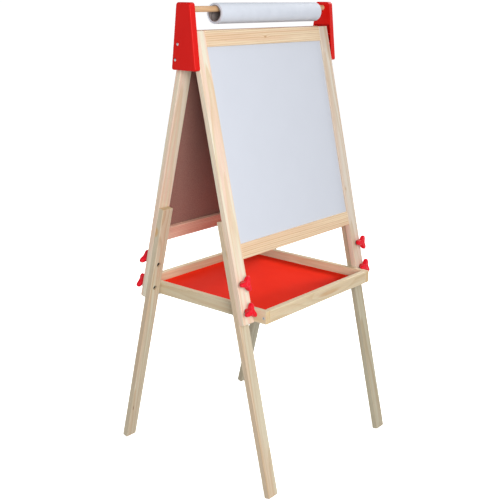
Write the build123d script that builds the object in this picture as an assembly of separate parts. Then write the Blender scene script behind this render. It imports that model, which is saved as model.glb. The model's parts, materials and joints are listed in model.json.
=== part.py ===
from build123d import *
import math
import os

# Child's double-sided A-frame easel: a whiteboard frame in front, a chalkboard frame behind,
# moulded end caps that hold a dowel with a paper roll, a lift-off tray and four bolted legs.
# Millimetres, +Z up, whiteboard towards -Y. The origin is on the floor, midway between the feet.

os.makedirs("parts", exist_ok=True)

# ---- Frames: the plan of one leaning frame, shared by the front and the rear ----
FRAME_WIDTH = 560.0       # across the outer edges of the two stiles
LEAN = 13.2               # lean of each frame from upright, degrees
FLOOR_REACH = 294.0       # from the middle to where a frame's outer face would meet the floor
STILE_WIDTH = 40.0
STILE_THICK = 16.0
STILE_BOTTOM = 471.0      # distances along the slope, measured from the floor line
STILE_TOP = 1208.0
TOP_RAIL_HEIGHT = 40.0
BOTTOM_RAIL_LOW = 635.0
BOTTOM_RAIL_HEIGHT = 39.0
EDGE_ROUND = 1.5          # eased edges of all planed timber

# ---- Legs, bolted behind the stiles ----
LEG_WIDTH = 36.5
LEG_THICK = 17.0
LEG_TOP = 740.0
LEG_ROUND = 2.0

# ---- Boards held in grooves ----
BOARD_THICK = 3.2
BOARD_SETBACK = 4.2       # from the frame's outer face to the writing face
GROOVE_DEPTH = 6.0
GROOVE_PLAY = 0.2         # each side of a board in its groove
BOARD_MARGIN = 5.5        # how far a board runs into its grooves

# ---- Wooden pins that join rails to stiles ----
PIN_DIAMETER = 8.0
PIN_LENGTH = 39.0
PIN_HOLE_DEPTH = 20.0
PIN_FROM_OPEN_EDGE = 10.5
PIN_SPACING = 15.0

# ---- Leg bolts, washers and knobs ----
BOLT_DIAMETER = 6.0
BOLT_HOLE = 6.4
BOLT_FROM_OUTER_EDGE = 16.0
BOLT_LOW = 505.0          # along the slope
BOLT_HIGH = 576.0
BOLT_END = 15.0           # beyond the stile's outer face
HEAD_RECESS_DIAMETER = 13.0
HEAD_RECESS_DEPTH = 5.0
HEAD_DIAMETER = 11.0
HEAD_HEIGHT = 3.2
WASHER_DIAMETER = 14.0
WASHER_THICK = 1.2
KNOB_GAP = 0.3            # knob base above its washer
KNOB_HEIGHT = 22.0
KNOB_HUB_RADIUS = 8.0
KNOB_ARM_WIDTH = 9.0
KNOB_LOBE_CENTRE = 17.0
KNOB_LOBE_RADIUS = 5.8
KNOB_ARM_BASE = 9.0       # underside of the three arms above the knob's base
INSERT_DIAMETER = 9.0
INSERT_LENGTH = 13.0
INSERT_BORE = 6.1
KNOB_TURNS = {            # resting angle of each knob, degrees about its bolt
    "front_left_upper": 57.0, "front_left_lower": 75.0,
    "front_right_upper": 54.0, "front_right_lower": 64.0,
    "rear_left_upper": 100.0, "rear_left_lower": 82.0,
    "rear_right_upper": 62.0, "rear_right_lower": 20.0,
}

# ---- End caps ----
CAP_INNER = 280.4         # clears the swinging stile by 0.4
CAP_OUTER = 298.0
CAP_LOW = 1081.0
CAP_HIGH = 1242.6
CAP_HALF_LOW = 40.6       # half depth at the bottom and at the top
CAP_HALF_HIGH = 22.7
CAP_CORNER_LOW = 5.0
CAP_CORNER_HIGH = 8.0
CAP_EDGE_ROUND = 3.5
CAP_WALL = 3.0
CAP_SKIN = 3.0            # thickness of the outer face over the pocket
CAP_SOLID_FROM = 1180.0   # the cap is solid above this height, round the dowel socket
CAP_RIB_THICK = 2.4
CAP_RIB_HEIGHTS = (1104.0, 1152.0)
SOCKET_DEPTH = 7.6
LUG_INBOARD = 272.0       # the stop lug reaches in to here, between the stile tops
LUG_LOW = 1141.0
LUG_HIGH = 1166.0
LUG_GAP = 0.5

# ---- Screws that fix each cap to its rear stile ----
CAP_SCREW_ALONG = (1137.0, 1176.0)
CAP_SCREW_DEPTH_IN = 6.5  # from the rear stile's outer face
CAP_SCREW_DIAMETER = 4.0
CAP_SCREW_TIP = 258.0
CAP_SCREW_HEAD = 8.0
CAP_SCREW_HEAD_HEIGHT = 2.4
CAP_SCREW_RECESS = 2.0
CAP_BOSS_RADIUS = 6.0

# ---- Pivots of the front frame ----
PIVOT_ALONG = 1160.0
PIVOT_DIAMETER = 8.0
PIVOT_TIP = 262.6
PIVOT_SOCKET = 5.0
PIVOT_BOSS_RADIUS = 8.0
BUSH_DIAMETER = 12.0
BUSH_BORE = 8.1
BUSH_LENGTH = 18.0

# ---- Dowel and paper roll ----
DOWEL_DIAMETER = 15.0
DOWEL_HEIGHT = 1226.3
DOWEL_END_GAP = 0.6
DOWEL_PLAY = 0.08         # radial, in the sockets
ROLL_LEFT = -183.0
ROLL_RIGHT = 241.0
CORE_BORE = 37.0
CORE_DIAMETER = 41.0
PAPER_DIAMETER = 52.0
ROLL_HANG_GAP = 0.3

# ---- Tray ----
TRAY_HALF_WIDTH = 239.2
TRAY_HALF_DEPTH = 224.0
TRAY_LOW = 459.2
TRAY_HIGH = 493.6
TRAY_RAIL_THICK = 16.0
TRAY_ROUND = 2.0
TRAY_PANEL_TOP = 469.0
TRAY_SCREW_HEIGHT = 475.0
TRAY_SCREW_DIAMETER = 4.0
TRAY_SCREW_HEAD = 8.0
TRAY_SCREW_LENGTH = 45.0
PEG_DIAMETER = 8.0
PEG_IN = 18.0             # length held in the leg
PEG_TIP = 227.0
PEG_GAP = 0.3
REAR_PEG_DROP = 1.0       # axis of the rear pegs below the underside of the tray

# ---- Worked out from the driving sizes ----
HALF = FRAME_WIDTH / 2
STILE_INNER = HALF - STILE_WIDTH
LEG_INNER = HALF - LEG_WIDTH
BOLT_X = HALF - BOLT_FROM_OUTER_EDGE
TOP_RAIL_LOW = STILE_TOP - TOP_RAIL_HEIGHT
BOTTOM_RAIL_HIGH = BOTTOM_RAIL_LOW + BOTTOM_RAIL_HEIGHT
LEG_BACK = STILE_THICK + LEG_THICK
SIN, COS = math.sin(math.radians(LEAN)), math.cos(math.radians(LEAN))
GROOVE_WIDTH = BOARD_THICK + 2 * GROOVE_PLAY
FOOT_DROP = LEG_ROUND * (COS + SIN - 1)
LEG_BOTTOM = (LEG_BACK * SIN - FOOT_DROP) / COS    # the rounded inner edge just touches the floor
PEG_N = STILE_THICK + LEG_THICK / 2
FRONT_PEG_HEIGHT = TRAY_LOW - PEG_GAP - PEG_DIAMETER / 2
REAR_PEG_HEIGHT = TRAY_LOW - REAR_PEG_DROP
ROLL_HEIGHT = DOWEL_HEIGHT + DOWEL_DIAMETER / 2 + ROLL_HANG_GAP - CORE_BORE / 2

# Frame coordinates are x across, n inwards from the outer face and s up the slope.
FRONT = Location((0, -FLOOR_REACH, 0), (-LEAN, 0, 0))
REAR = Location((0, 0, 0), (0, 0, 180)) * FRONT
FRAMES = (("front", FRONT, 1), ("rear", REAR, -1))
SIDES = (("left", -1), ("right", 1))


def save(name, shape):
    """Write one named piece."""
    export_step(shape, f"parts/{name}.step")


def block(x, y, z, rounding=0.0):
    """A box between pairs of coordinates, with its edges rounded if asked."""
    size = [abs(pair[1] - pair[0]) for pair in (x, y, z)]
    middle = [(pair[0] + pair[1]) / 2 for pair in (x, y, z)]
    solid = Pos(*middle) * Box(*size)
    return fillet(solid.edges(), rounding) if rounding else solid


def rod_x(x, y, z, diameter):
    """A round bar along X between two x values."""
    bar = Cylinder(diameter / 2, abs(x[1] - x[0]), rotation=(0, 90, 0))
    return Pos((x[0] + x[1]) / 2, y, z) * bar


def rod_n(x, n, s, diameter):
    """A round bar square to a frame's face, between two n values."""
    bar = Cylinder(diameter / 2, abs(n[1] - n[0]), rotation=(90, 0, 0))
    return Pos(x, (n[0] + n[1]) / 2, s) * bar


def world_yz(n, s):
    """The Y and Z of a point of the front frame."""
    return -FLOOR_REACH + s * SIN + n * COS, s * COS - n * SIN


def slope_at(height, n):
    """How far up the slope a point at depth n has the given height."""
    return (height + n * SIN) / COS


def joint_pins_along():
    """Places along the slope of the four wooden pins on one side of a frame."""
    bottom = [BOTTOM_RAIL_LOW + PIN_FROM_OPEN_EDGE + i * PIN_SPACING for i in range(2)]
    top = [STILE_TOP - PIN_FROM_OPEN_EDGE - i * PIN_SPACING for i in range(2)]
    return bottom + top


def pin_holes(side):
    """Drillings for the wooden pins, through the joint on one side."""
    x = (side * (STILE_INNER - PIN_HOLE_DEPTH), side * (STILE_INNER + PIN_HOLE_DEPTH))
    return [rod_x(x, STILE_THICK / 2, s, PIN_DIAMETER) for s in joint_pins_along()]


def groove_band():
    """The space that the board's edges and their play take, all round the frame."""
    reach_x = STILE_INNER + GROOVE_DEPTH
    low = BOTTOM_RAIL_HIGH - GROOVE_DEPTH
    high = TOP_RAIL_LOW + GROOVE_DEPTH
    n_low = BOARD_SETBACK - GROOVE_PLAY
    return block((-reach_x, reach_x), (n_low, n_low + GROOVE_WIDTH), (low, high))


def stile(side, frame_name):
    """One upright: grooved, drilled for its rails, its leg bolts and its cap."""
    x = (side * STILE_INNER, side * HALF)
    solid = block(x, (0, STILE_THICK), (STILE_BOTTOM, STILE_TOP), EDGE_ROUND)
    solid -= groove_band()
    for hole in pin_holes(side):
        solid -= hole
    for s in (BOLT_LOW, BOLT_HIGH):
        solid -= rod_n(side * BOLT_X, (-1, STILE_THICK + 1), s, BOLT_HOLE)
    if frame_name == "front":
        hole = (side * (HALF - BUSH_LENGTH), side * (HALF + 1))
        solid -= rod_x(hole, STILE_THICK / 2, PIVOT_ALONG, BUSH_DIAMETER)
    else:
        for s in CAP_SCREW_ALONG:
            hole = (side * CAP_SCREW_TIP, side * (HALF + 1))
            solid -= rod_x(hole, CAP_SCREW_DEPTH_IN, s, CAP_SCREW_DIAMETER)
    return solid


def rail(low, high):
    """One cross rail between the stiles, grooved for the board and drilled at its ends."""
    solid = block((-STILE_INNER, STILE_INNER), (0, STILE_THICK), (low, high), EDGE_ROUND)
    solid -= groove_band()
    for side in (-1, 1):
        for hole in pin_holes(side):
            solid -= hole
    return solid


def board_panel():
    """The flat board that fills a frame."""
    reach = STILE_INNER + BOARD_MARGIN
    low, high = BOTTOM_RAIL_HIGH - BOARD_MARGIN, TOP_RAIL_LOW + BOARD_MARGIN
    return block((-reach, reach), (BOARD_SETBACK, BOARD_SETBACK + BOARD_THICK), (low, high))


def frame_pins():
    """The eight wooden pins inside one frame's corners."""
    pins = []
    for side in (-1, 1):
        for s in joint_pins_along():
            x = (side * STILE_INNER - PIN_LENGTH / 2, side * STILE_INNER + PIN_LENGTH / 2)
            pins.append(rod_x(x, STILE_THICK / 2, s, PIN_DIAMETER))
    return Compound(children=pins)


def leg(side, peg_height):
    """One leg, square cut, recessed for the bolt heads and drilled for its tray peg."""
    x = (side * LEG_INNER, side * HALF)
    solid = block(x, (STILE_THICK, LEG_BACK), (LEG_BOTTOM, LEG_TOP), LEG_ROUND)
    for s in (BOLT_LOW, BOLT_HIGH):
        solid -= rod_n(side * BOLT_X, (STILE_THICK - 1, LEG_BACK + 1), s, BOLT_HOLE)
        recess = (LEG_BACK - HEAD_RECESS_DEPTH, LEG_BACK + 1)
        solid -= rod_n(side * BOLT_X, recess, s, HEAD_RECESS_DIAMETER)
    hole = (side * (LEG_INNER - 1), side * (LEG_INNER + PEG_IN))
    solid -= rod_x(hole, PEG_N, slope_at(peg_height, PEG_N), PEG_DIAMETER)
    return solid


def leg_bolts():
    """The four round-headed leg bolts of one frame."""
    bolts = []
    under_head = LEG_BACK - HEAD_RECESS_DEPTH
    for side in (-1, 1):
        for s in (BOLT_LOW, BOLT_HIGH):
            shank = rod_n(side * BOLT_X, (-BOLT_END, under_head), s, BOLT_DIAMETER)
            head = rod_n(side * BOLT_X, (under_head, under_head + HEAD_HEIGHT), s, HEAD_DIAMETER)
            dome = head.edges().filter_by(GeomType.CIRCLE).sort_by(Axis.Y)[-1]
            bolts.append(shank + fillet(dome, HEAD_HEIGHT * 0.6))
    return Compound(children=bolts)


def leg_washers():
    """The four washers under one frame's knobs."""
    washers = []
    for side in (-1, 1):
        for s in (BOLT_LOW, BOLT_HIGH):
            ring = rod_n(side * BOLT_X, (-WASHER_THICK, 0), s, WASHER_DIAMETER)
            ring -= rod_n(side * BOLT_X, (-WASHER_THICK - 1, 1), s, BOLT_HOLE)
            washers.append(ring)
    return Compound(children=washers)


def tray_peg(side, peg_height):
    """One of the pegs in the legs that carry the tray's side rails."""
    x = (side * PEG_TIP, side * (LEG_INNER + PEG_IN))
    return rod_x(x, PEG_N, slope_at(peg_height, PEG_N), PEG_DIAMETER)


def knob_body():
    """A three-lobed hand knob on its own axis, base at z = 0, with a blind hole for its insert."""
    outline = Circle(KNOB_HUB_RADIUS + 1)
    for i in range(3):
        arm = Pos(KNOB_LOBE_CENTRE / 2, 0) * Rectangle(KNOB_LOBE_CENTRE, KNOB_ARM_WIDTH)
        arm += Pos(KNOB_LOBE_CENTRE, 0) * Circle(KNOB_LOBE_RADIUS)
        outline += Rot(0, 0, 120 * i) * arm
    outline = fillet(outline.vertices(), 2.5)
    top = KNOB_HEIGHT - 1.0
    star = Pos(0, 0, KNOB_ARM_BASE) * extrude(outline, top - KNOB_ARM_BASE)
    star = fillet(star.edges().group_by(Axis.Z)[-1] + star.edges().group_by(Axis.Z)[0], 2.8)
    hub = Pos(0, 0, KNOB_HEIGHT / 2) * Cylinder(KNOB_HUB_RADIUS, KNOB_HEIGHT)
    hub = fillet(hub.edges().group_by(Axis.Z)[-1], 1.5)
    solid = star + hub
    solid -= Pos(0, 0, INSERT_LENGTH / 2) * Cylinder(INSERT_DIAMETER / 2, INSERT_LENGTH)
    solid -= Pos(0, 0, INSERT_LENGTH) * Cylinder(INSERT_BORE / 2, 6)
    return solid


def knob_insert():
    """The threaded brass insert in a knob, shown with a plain bore."""
    solid = Pos(0, 0, INSERT_LENGTH / 2) * Cylinder(INSERT_DIAMETER / 2, INSERT_LENGTH)
    return solid - Pos(0, 0, INSERT_LENGTH / 2) * Cylinder(INSERT_BORE / 2, INSERT_LENGTH + 2)


def knob_place(side, s, turn):
    """Where a knob sits in frame coordinates: base against its washer, pointing outwards."""
    base = -WASHER_THICK - KNOB_GAP
    return Location((side * BOLT_X, base, s), (90, 0, 0)) * Location((0, 0, 0), (0, 0, turn))


def cap_outline():
    """The tapered outline of a cap in the YZ plane."""
    points = [(-CAP_HALF_LOW, CAP_LOW), (CAP_HALF_LOW, CAP_LOW)]
    points += [(CAP_HALF_HIGH, CAP_HIGH), (-CAP_HALF_HIGH, CAP_HIGH)]
    face = Polygon(*points, align=None)
    low = face.vertices().group_by(Axis.Y)[0]
    face = fillet(low, CAP_CORNER_LOW)
    high = face.vertices().group_by(Axis.Y)[-1]
    corners = [v for v in face.vertices() if v.Y > CAP_HIGH - 1]
    return fillet(corners, CAP_CORNER_HIGH) if corners else fillet(high, CAP_CORNER_HIGH)


def cap(side):
    """One moulded end cap: an open-backed shell with bosses, ribs, a stop lug and a dowel socket."""
    plane = Plane(origin=(CAP_INNER, 0, 0), x_dir=(0, 1, 0), z_dir=(1, 0, 0))
    outline = cap_outline()
    solid = plane * extrude(outline, CAP_OUTER - CAP_INNER)
    outer_edges = solid.edges().group_by(Axis.X)[-1]
    solid = fillet(outer_edges, CAP_EDGE_ROUND)
    pocket = plane * extrude(offset(outline, -CAP_WALL), CAP_OUTER - CAP_INNER - CAP_SKIN)
    reach = 2 * CAP_HALF_LOW
    pocket &= block((CAP_INNER, CAP_OUTER), (-reach, reach), (CAP_LOW, CAP_SOLID_FROM))
    ribs = [block((CAP_INNER, CAP_OUTER), (-reach, reach), (z, z + CAP_RIB_THICK))
            for z in CAP_RIB_HEIGHTS]
    for rib in ribs:
        pocket -= rib
    pivot_y, pivot_z = world_yz(STILE_THICK / 2, PIVOT_ALONG)
    pocket -= rod_x((CAP_INNER, CAP_OUTER), pivot_y, pivot_z, 2 * PIVOT_BOSS_RADIUS)
    screws = [world_yz(CAP_SCREW_DEPTH_IN, s) for s in CAP_SCREW_ALONG]
    for y, z in screws:
        pocket -= rod_x((CAP_INNER, CAP_OUTER), -y, z, 2 * CAP_BOSS_RADIUS)
    solid -= pocket
    for y, z in screws:
        solid += rod_x((HALF, CAP_OUTER - CAP_SKIN), -y, z, 2 * CAP_BOSS_RADIUS)
    solid += stop_lug()
    for y, z in screws:
        solid -= rod_x((HALF - 1, CAP_OUTER + 1), -y, z, CAP_SCREW_DIAMETER)
        head = (CAP_OUTER - CAP_SCREW_RECESS, CAP_OUTER + 1)
        solid -= rod_x(head, -y, z, CAP_SCREW_HEAD + 0.6)
    solid -= rod_x((CAP_INNER - 1, CAP_INNER + PIVOT_SOCKET), pivot_y, pivot_z, PIVOT_DIAMETER)
    socket = DOWEL_DIAMETER + 2 * DOWEL_PLAY
    solid -= rod_x((CAP_INNER - 1, CAP_INNER + SOCKET_DEPTH), 0, DOWEL_HEIGHT, socket)
    return solid if side > 0 else mirror(solid, Plane.YZ)


def stop_lug():
    """The wedge between the stile tops that stops the frames opening too far."""
    def half_width(height):
        y, z = world_yz(STILE_THICK, slope_at(height, STILE_THICK))
        return -y - LUG_GAP
    points = [(-half_width(LUG_LOW), LUG_LOW), (half_width(LUG_LOW), LUG_LOW)]
    points += [(half_width(LUG_HIGH), LUG_HIGH), (-half_width(LUG_HIGH), LUG_HIGH)]
    plane = Plane(origin=(LUG_INBOARD, 0, 0), x_dir=(0, 1, 0), z_dir=(1, 0, 0))
    return plane * extrude(Polygon(*points, align=None), CAP_OUTER - CAP_SKIN - LUG_INBOARD)


def cap_screws():
    """The four pan-head screws that hold the caps to the rear stiles."""
    screws = []
    seat = CAP_OUTER - CAP_SCREW_RECESS
    for side in (-1, 1):
        for s in CAP_SCREW_ALONG:
            y, z = world_yz(CAP_SCREW_DEPTH_IN, s)
            shank = rod_x((CAP_SCREW_TIP, seat), -y, z, CAP_SCREW_DIAMETER)
            head = rod_x((seat, seat + CAP_SCREW_HEAD_HEIGHT), -y, z, CAP_SCREW_HEAD)
            rim = head.edges().filter_by(GeomType.CIRCLE).sort_by(Axis.X)[-1]
            head = fillet(rim, CAP_SCREW_HEAD_HEIGHT * 0.5)
            screw = shank + head - cross_recess(seat + CAP_SCREW_HEAD_HEIGHT, -y, z)
            screws.append(screw if side > 0 else mirror(screw, Plane.YZ))
    return Compound(children=screws)


def cross_recess(x, y, z):
    """The driver cross in a screw head whose top is at x."""
    arm = block((x - 1.2, x + 1), (y - 2.0, y + 2.0), (z - 0.5, z + 0.5))
    return arm + block((x - 1.2, x + 1), (y - 0.5, y + 0.5), (z - 2.0, z + 2.0))


def pivot_pin(side):
    """The steel pin between a cap and the front stile's bush."""
    y, z = world_yz(STILE_THICK / 2, PIVOT_ALONG)
    return rod_x((side * PIVOT_TIP, side * (CAP_INNER + PIVOT_SOCKET)), y, z, PIVOT_DIAMETER)


def pivot_bush(side):
    """The plain bush in the front stile that turns on the pivot pin, in frame coordinates."""
    x = (side * (HALF - BUSH_LENGTH), side * HALF)
    bush = rod_x(x, STILE_THICK / 2, PIVOT_ALONG, BUSH_DIAMETER)
    return bush - rod_x((x[0] - 1 * side, x[1] + 1 * side), STILE_THICK / 2, PIVOT_ALONG, BUSH_BORE)


def tray_side_rail(side):
    """A side rail of the tray, the full depth of the tray, notched over the rear peg."""
    x = (side * (TRAY_HALF_WIDTH - TRAY_RAIL_THICK), side * TRAY_HALF_WIDTH)
    y = (-TRAY_HALF_DEPTH, TRAY_HALF_DEPTH)
    solid = block(x, y, (TRAY_LOW, TRAY_HIGH), TRAY_ROUND)
    solid -= tray_groove()
    peg_y, peg_z = world_yz(PEG_N, slope_at(REAR_PEG_HEIGHT, PEG_N))
    half_notch = PEG_DIAMETER / 2 + PEG_GAP
    solid -= block(x, (-peg_y - half_notch, -peg_y + half_notch), (peg_z - 9, peg_z + half_notch))
    for end in (-1, 1):
        solid -= tray_screw_space(side, end)
    return solid


def tray_end_rail(end):
    """The front or rear rail of the tray, between the side rails."""
    reach = TRAY_HALF_WIDTH - TRAY_RAIL_THICK
    y = (end * (TRAY_HALF_DEPTH - TRAY_RAIL_THICK), end * TRAY_HALF_DEPTH)
    solid = block((-reach, reach), y, (TRAY_LOW, TRAY_HIGH), TRAY_ROUND)
    solid -= tray_groove()
    for side in (-1, 1):
        solid -= tray_screw_space(side, end)
    return solid


def tray_groove():
    """The space that the tray panel's edges and their play take."""
    reach_x = TRAY_HALF_WIDTH - TRAY_RAIL_THICK + GROOVE_DEPTH
    reach_y = TRAY_HALF_DEPTH - TRAY_RAIL_THICK + GROOVE_DEPTH
    low = TRAY_PANEL_TOP - BOARD_THICK - GROOVE_PLAY
    return block((-reach_x, reach_x), (-reach_y, reach_y), (low, low + GROOVE_WIDTH))


def tray_panel():
    """The painted board in the bottom of the tray."""
    reach_x = TRAY_HALF_WIDTH - TRAY_RAIL_THICK + BOARD_MARGIN
    reach_y = TRAY_HALF_DEPTH - TRAY_RAIL_THICK + BOARD_MARGIN
    z = (TRAY_PANEL_TOP - BOARD_THICK, TRAY_PANEL_TOP)
    return block((-reach_x, reach_x), (-reach_y, reach_y), z)


def tray_screw_space(side, end):
    """The solid that a tray screw fills: a countersunk head and its shank."""
    y = end * (TRAY_HALF_DEPTH - TRAY_RAIL_THICK / 2)
    tip = TRAY_HALF_WIDTH - TRAY_SCREW_LENGTH
    shank = rod_x((tip, TRAY_HALF_WIDTH), y, TRAY_SCREW_HEIGHT, TRAY_SCREW_DIAMETER)
    sink = (TRAY_SCREW_HEAD - TRAY_SCREW_DIAMETER) / 2
    cone = Cone(TRAY_SCREW_DIAMETER / 2, TRAY_SCREW_HEAD / 2, sink, rotation=(0, 90, 0))
    screw = shank + Pos(TRAY_HALF_WIDTH - sink / 2, y, TRAY_SCREW_HEIGHT) * cone
    return screw if side > 0 else mirror(screw, Plane.YZ)


def tray_screws():
    """The four screws through the side rails into the ends of the other two."""
    screws = []
    for end in (-1, 1):
        y = end * (TRAY_HALF_DEPTH - TRAY_RAIL_THICK / 2)
        screw = tray_screw_space(1, end) - cross_recess(TRAY_HALF_WIDTH, y, TRAY_SCREW_HEIGHT)
        screws += [screw, mirror(screw, Plane.YZ)]
    return Compound(children=screws)


def tube_x(x, z, outer, bore):
    """A tube along X at Y = 0."""
    return rod_x(x, 0, z, outer) - rod_x((x[0] - 1, x[1] + 1), 0, z, bore)


for frame_name, place, facing in FRAMES:
    peg_height = FRONT_PEG_HEIGHT if frame_name == "front" else REAR_PEG_HEIGHT
    for side_name, world_side in SIDES:
        side = world_side * facing
        save(f"{frame_name}_{side_name}_stile", place * stile(side, frame_name))
        save(f"{frame_name}_{side_name}_leg", place * leg(side, peg_height))
        save(f"{frame_name}_{side_name}_tray_peg", place * tray_peg(side, peg_height))
        for level, s in (("lower", BOLT_LOW), ("upper", BOLT_HIGH)):
            turn = KNOB_TURNS[f"{frame_name}_{side_name}_{level}"]
            at = place * knob_place(side, s, turn)
            save(f"{frame_name}_{side_name}_{level}_knob", at * knob_body())
            save(f"{frame_name}_{side_name}_{level}_knob_insert", at * knob_insert())
    save(f"{frame_name}_top_rail", place * rail(TOP_RAIL_LOW, STILE_TOP))
    save(f"{frame_name}_bottom_rail", place * rail(BOTTOM_RAIL_LOW, BOTTOM_RAIL_HIGH))
    save(f"{frame_name}_frame_pins", place * frame_pins())
    save(f"{frame_name}_leg_bolts", place * leg_bolts())
    save(f"{frame_name}_leg_washers", place * leg_washers())

save("whiteboard_panel", FRONT * board_panel())
save("chalkboard_panel", REAR * board_panel())

for side_name, side in SIDES:
    save(f"{side_name}_cap", cap(side))
    save(f"{side_name}_pivot_pin", pivot_pin(side))
    save(f"{side_name}_pivot_bush", FRONT * pivot_bush(side))
    save(f"tray_{side_name}_rail", tray_side_rail(side))
save("cap_screws", cap_screws())

dowel_end = CAP_INNER + SOCKET_DEPTH - DOWEL_END_GAP
save("roll_dowel", rod_x((-dowel_end, dowel_end), 0, DOWEL_HEIGHT, DOWEL_DIAMETER))
roll_span = (ROLL_LEFT, ROLL_RIGHT)
save("roll_core", tube_x(roll_span, ROLL_HEIGHT, CORE_DIAMETER, CORE_BORE))
save("paper_roll", tube_x(roll_span, ROLL_HEIGHT, PAPER_DIAMETER, CORE_DIAMETER))

save("tray_front_rail", tray_end_rail(-1))
save("tray_rear_rail", tray_end_rail(1))
save("tray_panel", tray_panel())
save("tray_screws", tray_screws())
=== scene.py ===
"""Visual model of a child's double-sided wooden easel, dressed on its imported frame."""

import json
import logging
import math
from dataclasses import dataclass, field
from enum import Enum
from typing import Sequence

import bmesh
import bpy
from mathutils import Euler, Matrix, Vector


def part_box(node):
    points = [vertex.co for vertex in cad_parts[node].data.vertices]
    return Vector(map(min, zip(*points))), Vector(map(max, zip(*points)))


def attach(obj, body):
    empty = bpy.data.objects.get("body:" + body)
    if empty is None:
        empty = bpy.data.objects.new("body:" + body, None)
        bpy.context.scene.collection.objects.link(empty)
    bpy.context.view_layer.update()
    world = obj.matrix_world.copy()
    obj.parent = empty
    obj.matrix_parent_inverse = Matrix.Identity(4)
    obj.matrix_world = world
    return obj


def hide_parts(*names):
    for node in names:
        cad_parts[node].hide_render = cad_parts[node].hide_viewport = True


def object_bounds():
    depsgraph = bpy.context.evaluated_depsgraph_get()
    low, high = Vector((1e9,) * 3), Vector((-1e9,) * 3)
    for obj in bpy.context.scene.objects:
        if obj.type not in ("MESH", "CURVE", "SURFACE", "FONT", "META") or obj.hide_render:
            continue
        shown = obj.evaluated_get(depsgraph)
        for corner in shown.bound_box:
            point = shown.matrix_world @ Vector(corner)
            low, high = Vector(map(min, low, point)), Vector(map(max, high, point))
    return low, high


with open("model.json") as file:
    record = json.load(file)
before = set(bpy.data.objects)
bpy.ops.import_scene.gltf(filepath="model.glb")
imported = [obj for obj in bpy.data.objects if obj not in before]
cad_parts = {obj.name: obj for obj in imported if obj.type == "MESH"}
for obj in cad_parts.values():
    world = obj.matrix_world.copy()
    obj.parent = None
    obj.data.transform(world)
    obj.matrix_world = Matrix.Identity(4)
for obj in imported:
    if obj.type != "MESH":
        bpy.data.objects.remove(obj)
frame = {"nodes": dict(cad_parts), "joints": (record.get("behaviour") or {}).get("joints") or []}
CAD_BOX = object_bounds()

LOG = logging.getLogger("easel")
MM = 0.001
X_AXIS = Vector((1.0, 0.0, 0.0))
Y_AXIS = Vector((0.0, 1.0, 0.0))
Z_AXIS = Vector((0.0, 0.0, 1.0))
Colour = tuple[float, float, float, float]


# ---------------------------------------------------------------- small tools


def linear(hex_colour: str) -> Colour:
    """Turn an sRGB hex colour into linear light.

    Args:
        hex_colour: Six hex digits after a hash.

    Returns:
        Red, green, blue and an alpha of one.
    """
    parts = [int(hex_colour[i:i + 2], 16) / 255 for i in (1, 3, 5)]
    red, green, blue = [p / 12.92 if p <= 0.04045 else ((p + 0.055) / 1.055) ** 2.4 for p in parts]
    return red, green, blue, 1.0


def node(tree: bpy.types.NodeTree, kind: str, inputs: dict | None = None,
         stops: Sequence[tuple[float, Colour]] = (), **settings) -> bpy.types.Node:
    """Add a node to a tree, set it up and link it.

    Args:
        tree: The material's or the modifier's tree.
        kind: The node's type name.
        inputs: A value, socket or node for each input, by the input's name or number.
        stops: Places and colours, for a colour ramp.
        **settings: The node's own settings, such as its operation.

    Returns:
        The new node.
    """
    new = tree.nodes.new(kind)
    for key, value in settings.items():
        setattr(new, key, value)
    for key, value in (inputs or {}).items():
        socket = new.inputs[key] if isinstance(key, int) else next(
            s for s in new.inputs if s.name == key and s.enabled)
        if isinstance(value, bpy.types.Node):
            value = next(s for s in value.outputs if s.enabled)
        if isinstance(value, bpy.types.NodeSocket):
            tree.links.new(value, socket)
        else:
            socket.default_value = value
    for i, (place, colour) in enumerate(stops):
        elements = new.color_ramp.elements
        element = elements[i] if i < 2 else elements.new(place)
        element.position = place
        element.color = colour
    return new


def grey(value: float) -> Colour:
    """A neutral linear colour."""
    return value, value, value, 1.0


def new_material(name: str) -> tuple[bpy.types.Material, bpy.types.NodeTree, bpy.types.Node]:
    """Make a material that has its Principled shader only.

    Args:
        name: The material's name.

    Returns:
        The material, its tree and its shader.
    """
    material = bpy.data.materials.new(name)
    material.use_nodes = True
    return material, material.node_tree, material.node_tree.nodes["Principled BSDF"]


def wire(tree: bpy.types.NodeTree, shader: bpy.types.Node, **inputs) -> None:
    """Link nodes or set values on a shader.

    Args:
        tree: The shader's tree.
        shader: The shader.
        **inputs: Values, sockets or nodes by the input's name, with underscores for spaces.
    """
    for key, value in inputs.items():
        socket = shader.inputs[key.replace("_", " ")]
        if isinstance(value, bpy.types.Node):
            value = next(s for s in value.outputs if s.enabled)
        if isinstance(value, bpy.types.NodeSocket):
            tree.links.new(value, socket)
        else:
            socket.default_value = value


def dress(obj: bpy.types.Object, material: bpy.types.Material) -> None:
    """Put one material on every slot of an object.

    Args:
        obj: The object.
        material: The material.
    """
    if not obj.material_slots:
        obj.data.materials.append(material)
    for material_slot in obj.material_slots:
        material_slot.material = material


def dress_node(name: str, material: bpy.types.Material) -> None:
    """Dress one CAD node and log it."""
    dress(frame["nodes"][name], material)
    LOG.info("dressed %s in %s", name, material.name)


def centre_of(name: str) -> Vector:
    """The middle of a CAD node's box, in metres."""
    low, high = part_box(name)
    return (low + high) / 2


def extent_along(name: str, axis: Vector) -> tuple[float, float]:
    """How far a CAD node reaches along an axis.

    Args:
        name: The node.
        axis: A unit vector.

    Returns:
        The lowest and the highest distance along the axis, in metres.
    """
    reach = [vertex.co.dot(axis) for vertex in frame["nodes"][name].data.vertices]
    return min(reach), max(reach)


def joint_line(name: str) -> tuple[Vector, Vector]:
    """A point on a joint's axis and the axis itself."""
    joint = next(j for j in frame["joints"] if j["name"] == name)
    return Vector(joint["pos_m"]), Vector(joint["axis"]).normalized()


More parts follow.
